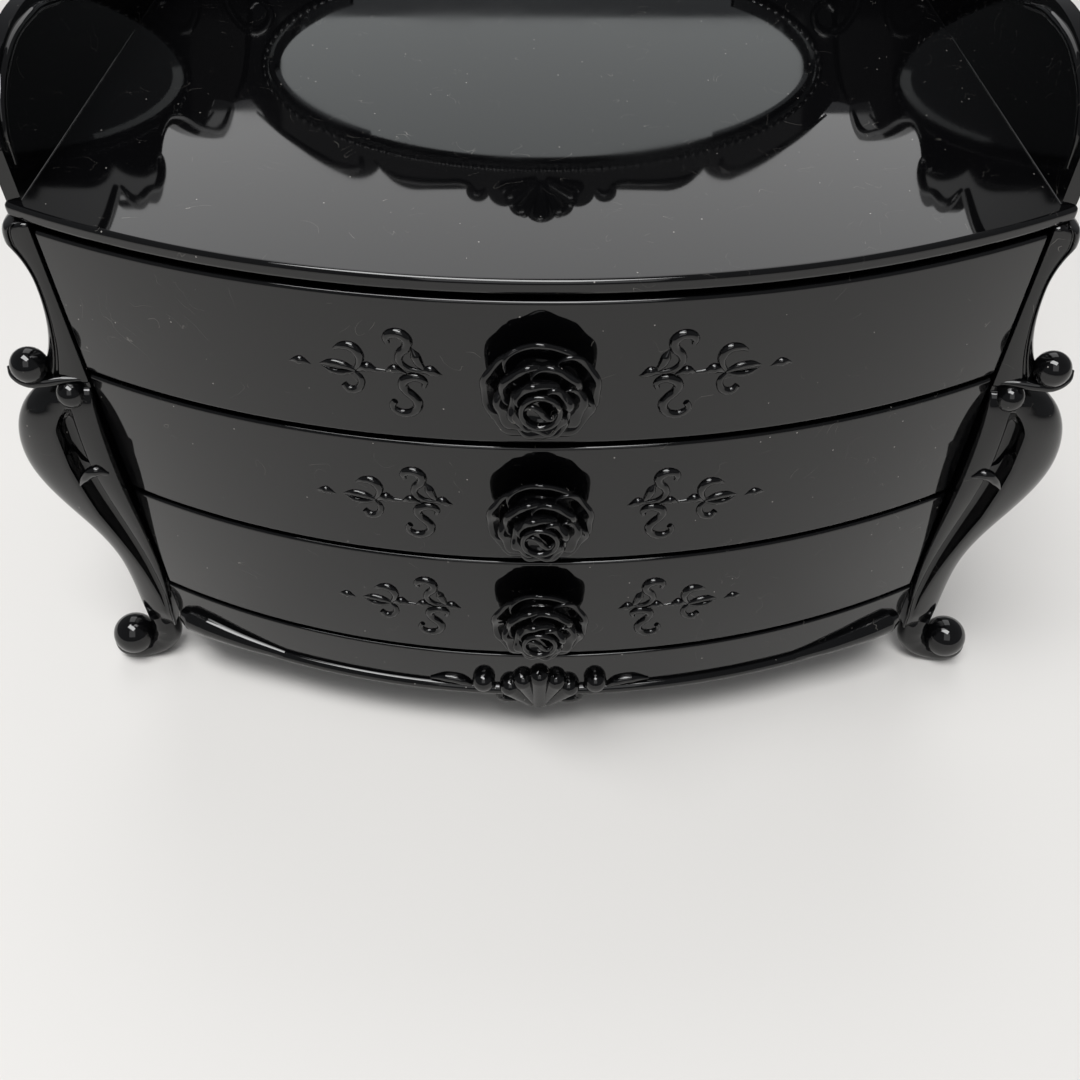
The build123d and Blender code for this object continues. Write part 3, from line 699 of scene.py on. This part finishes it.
# gallery ornament: beads round the glass, shell on the crest, scrolls in the corners and on the shoulders;
# scrolls are x, height over the top and radius
gallery = {
    "glassX": 73.5, "glassZ": 26.6, "glassMiddle": 32.8, "ovalPoints": 48,
    "beadRadius": 0.75, "beadShape": (0.9, 0.9, 1.45), "beadCount": 150, "beadOut": 0.95, "beadProud": 1.2,
    "crest": 63.5, "shell": {"lobes": 7, "reach": 14.2, "root": 1.6, "spread": 150, "tip": 1.9},
    "scrolls": {
        "big": [(80.5, 6.0, 0.4), (81.5, 12.0, 0.9), (80.0, 19.0, 1.2), (76.0, 22.5, 1.3),
                (71.8, 21.0, 1.2), (70.5, 17.2, 1.0), (73.0, 15.0, 0.9), (75.4, 16.6, 0.8)],
        "small": [(78.5, 8.5, 0.3), (75.0, 10.5, 0.9), (70.0, 9.0, 1.0), (66.0, 5.0, 0.9),
                  (68.0, 3.0, 0.7), (70.4, 4.4, 0.6)],
        "shoulder": [(79.0, 44.5, 0.3), (72.0, 51.0, 0.9), (64.0, 57.0, 1.0), (57.0, 60.5, 1.1),
                     (52.0, 60.0, 0.9), (51.6, 57.6, 0.7)],
        "ridge": [(48.0, 58.6, 0.3), (44.0, 62.5, 0.9), (37.0, 64.6, 1.0), (29.0, 65.0, 0.9),
                  (22.0, 65.4, 0.9), (18.8, 68.4, 0.9), (16.4, 67.2, 0.5)],
    },
}


# beads strung along a closed curve
def beadTree():
    tree, start = newTree("beadRow", Count="Int", Radius="Float")
    spots = addNode(tree, "GeometryNodeCurveToPoints", {"mode": "COUNT"},
                    {"Curve": (start, 0), "Count": (start, "Count")})
    ball = addNode(tree, "GeometryNodeMeshUVSphere", {"Segments": 12, "Rings": 8},
                   {"Radius": (start, "Radius")})
    smooth = addNode(tree, "GeometryNodeSetShadeSmooth", None, {0: (ball, 0)})
    row = addNode(tree, "GeometryNodeInstanceOnPoints", {"Scale": gallery["beadShape"]},
                  {"Points": (spots, 0), "Instance": (smooth, 0), "Rotation": (spots, "Rotation")})
    return closeTree(tree, row)


oval = []
for k in range(gallery["ovalPoints"]):
    turn = 2 * math.pi * k / gallery["ovalPoints"]
    x = (gallery["glassX"] + gallery["beadOut"]) * math.cos(turn)
    z = topFace + gallery["glassMiddle"] + (gallery["glassZ"] + gallery["beadOut"]) * math.sin(turn)
    oval.append((x, galleryFront - gallery["beadProud"], z, 1.0))
beads = runTree(curveFrom("ovalBeads", [oval], True), beadTree(),
                Count=gallery["beadCount"], Radius=gallery["beadRadius"] * mm)
shell = fanPaths(galleryFront, topFace + gallery["crest"], **gallery["shell"])
crest = drawStrokes("crestShell", shell, step=0.25, sides=20)
paths = []
for path in gallery["scrolls"].values():
    paths.append([(x, galleryFront, topFace + h, r) for x, h, r in path])
scrolls = drawStrokes("scrolls", bothSides(paths), step=0.3, sides=12)
handOver(joinPieces("galleryCarving", [beads, crest, scrolls]), "chest")

# scrolls inside each wing: share of the wing's length from its front, height over the top, radius
wingScrolls = {
    "front": [(0.02, 5.0, 0.3), (0.03, 12.0, 0.8), (0.09, 18.0, 0.9), (0.20, 19.8, 0.9), (0.29, 17.6, 0.6)],
    "hook": [(0.31, 19.0, 0.4), (0.35, 24.6, 0.9), (0.41, 26.8, 0.9), (0.475, 29.0, 1.0),
             (0.503, 26.0, 0.9), (0.485, 23.8, 0.7), (0.462, 24.8, 0.6)],
    "sweep": [(0.53, 21.8, 0.4), (0.57, 20.9, 0.8), (0.64, 23.8, 0.9), (0.76, 34.2, 0.9),
              (0.88, 41.6, 0.9), (0.97, 41.8, 0.5)],
    "seam": [(0, 0, 0.16), (1, 0, 0.16)],
}
wingLength = galleryFront - wingFront
paths = []
for path in wingScrolls.values():
    paths.append([(wingInner, wingFront + share * wingLength, topFace + h, r) for share, h, r in path])
handOver(drawStrokes("wingScrolls", bothSides(paths), step=0.3, sides=12), "chest")
print("gallery ornament made")

# camera where the photo was taken, in metres and degrees
camSpot = {"height": 0.206, "ahead": 0.135, "pitch": 46.9, "roll": 0.23, "lens": 35.1}
camData = bpy.data.cameras.new("photoCamera")
camData.lens = camSpot["lens"]
camData.sensor_width = 36.0
camData.clip_start = 0.01
cam = addObject("photoCamera", camData)
cam.matrix_world = (
    Matrix.Translation((0, frontY * mm - camSpot["ahead"], camSpot["height"]))
    @ Matrix.Rotation(math.radians(90 - camSpot["pitch"]), 4, "X")
    @ Matrix.Rotation(math.radians(camSpot["roll"]), 4, "Z")
)
bpy.context.scene.camera = cam

# pale floor, wide dim panels behind and in front that the top and the glass mirror, a wide lamp overhead
stage = {
    "floorHalf": 4.0, "floorColor": "#e6e4e1", "floorRough": 0.6, "fill": "#6c6d6f", "backdrop": "#ffffff",
    "lamps": {
        "backPanel": {"spot": (0, 1.1, 1.25), "aim": (0, 0, 0.1), "size": (1.5, 1.2), "power": 7.5},
        "frontPanel": {"spot": (0, -1.3, 1.25), "aim": (0, 0, 0.1), "size": (0.98, 1.2), "power": 3.2},
        "overhead": {"spot": (-0.15, -0.35, 1.4), "aim": (0, -0.15, 0), "size": (1.0, 0.5), "power": 17.5},
    },
}


def softLight(name, spot, aim, size, power):
    data = bpy.data.lights.new(name, "AREA")
    data.shape = "RECTANGLE"
    data.size, data.size_y = size
    data.energy = power
    lamp = addObject(name, data)
    lamp.location = spot
    lamp.rotation_euler = (Vector(aim) - Vector(spot)).to_track_quat("-Z", "Y").to_euler()


half = stage["floorHalf"]
floorCorners = [(-half, -half, 0), (half, -half, 0), (half, half, 0), (-half, half, 0)]
floorMesh = bpy.data.meshes.new("floor")
floorMesh.from_pydata(floorCorners, [], [(0, 1, 2, 3)])
floor = addObject("floor", floorMesh)
paper, _, paperShader = newMaterial("pale matt board")
paperShader.inputs["Base Color"].default_value = hexColor(stage["floorColor"])
paperShader.inputs["Roughness"].default_value = stage["floorRough"]
floorMesh.materials.append(paper)
floor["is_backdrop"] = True
for name, lamp in stage["lamps"].items():
    softLight(name, **lamp)

# white to the camera, grey to everything that mirrors it
world = bpy.data.worlds.new("studio")
world.use_nodes = True
bpy.context.scene.world = world
rays = addNode(world.node_tree, "ShaderNodeLightPath")
sky = addNode(world.node_tree, "ShaderNodeMix",
              {"data_type": "RGBA", 6: hexColor(stage["fill"]), 7: hexColor(stage["backdrop"])},
              {0: (rays, "Is Camera Ray")})
world.node_tree.links.new(sky.outputs[2], world.node_tree.nodes["Background"].inputs["Color"])
bpy.context.scene.view_settings.view_transform = "Standard"
print("stage set")

low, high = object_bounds()
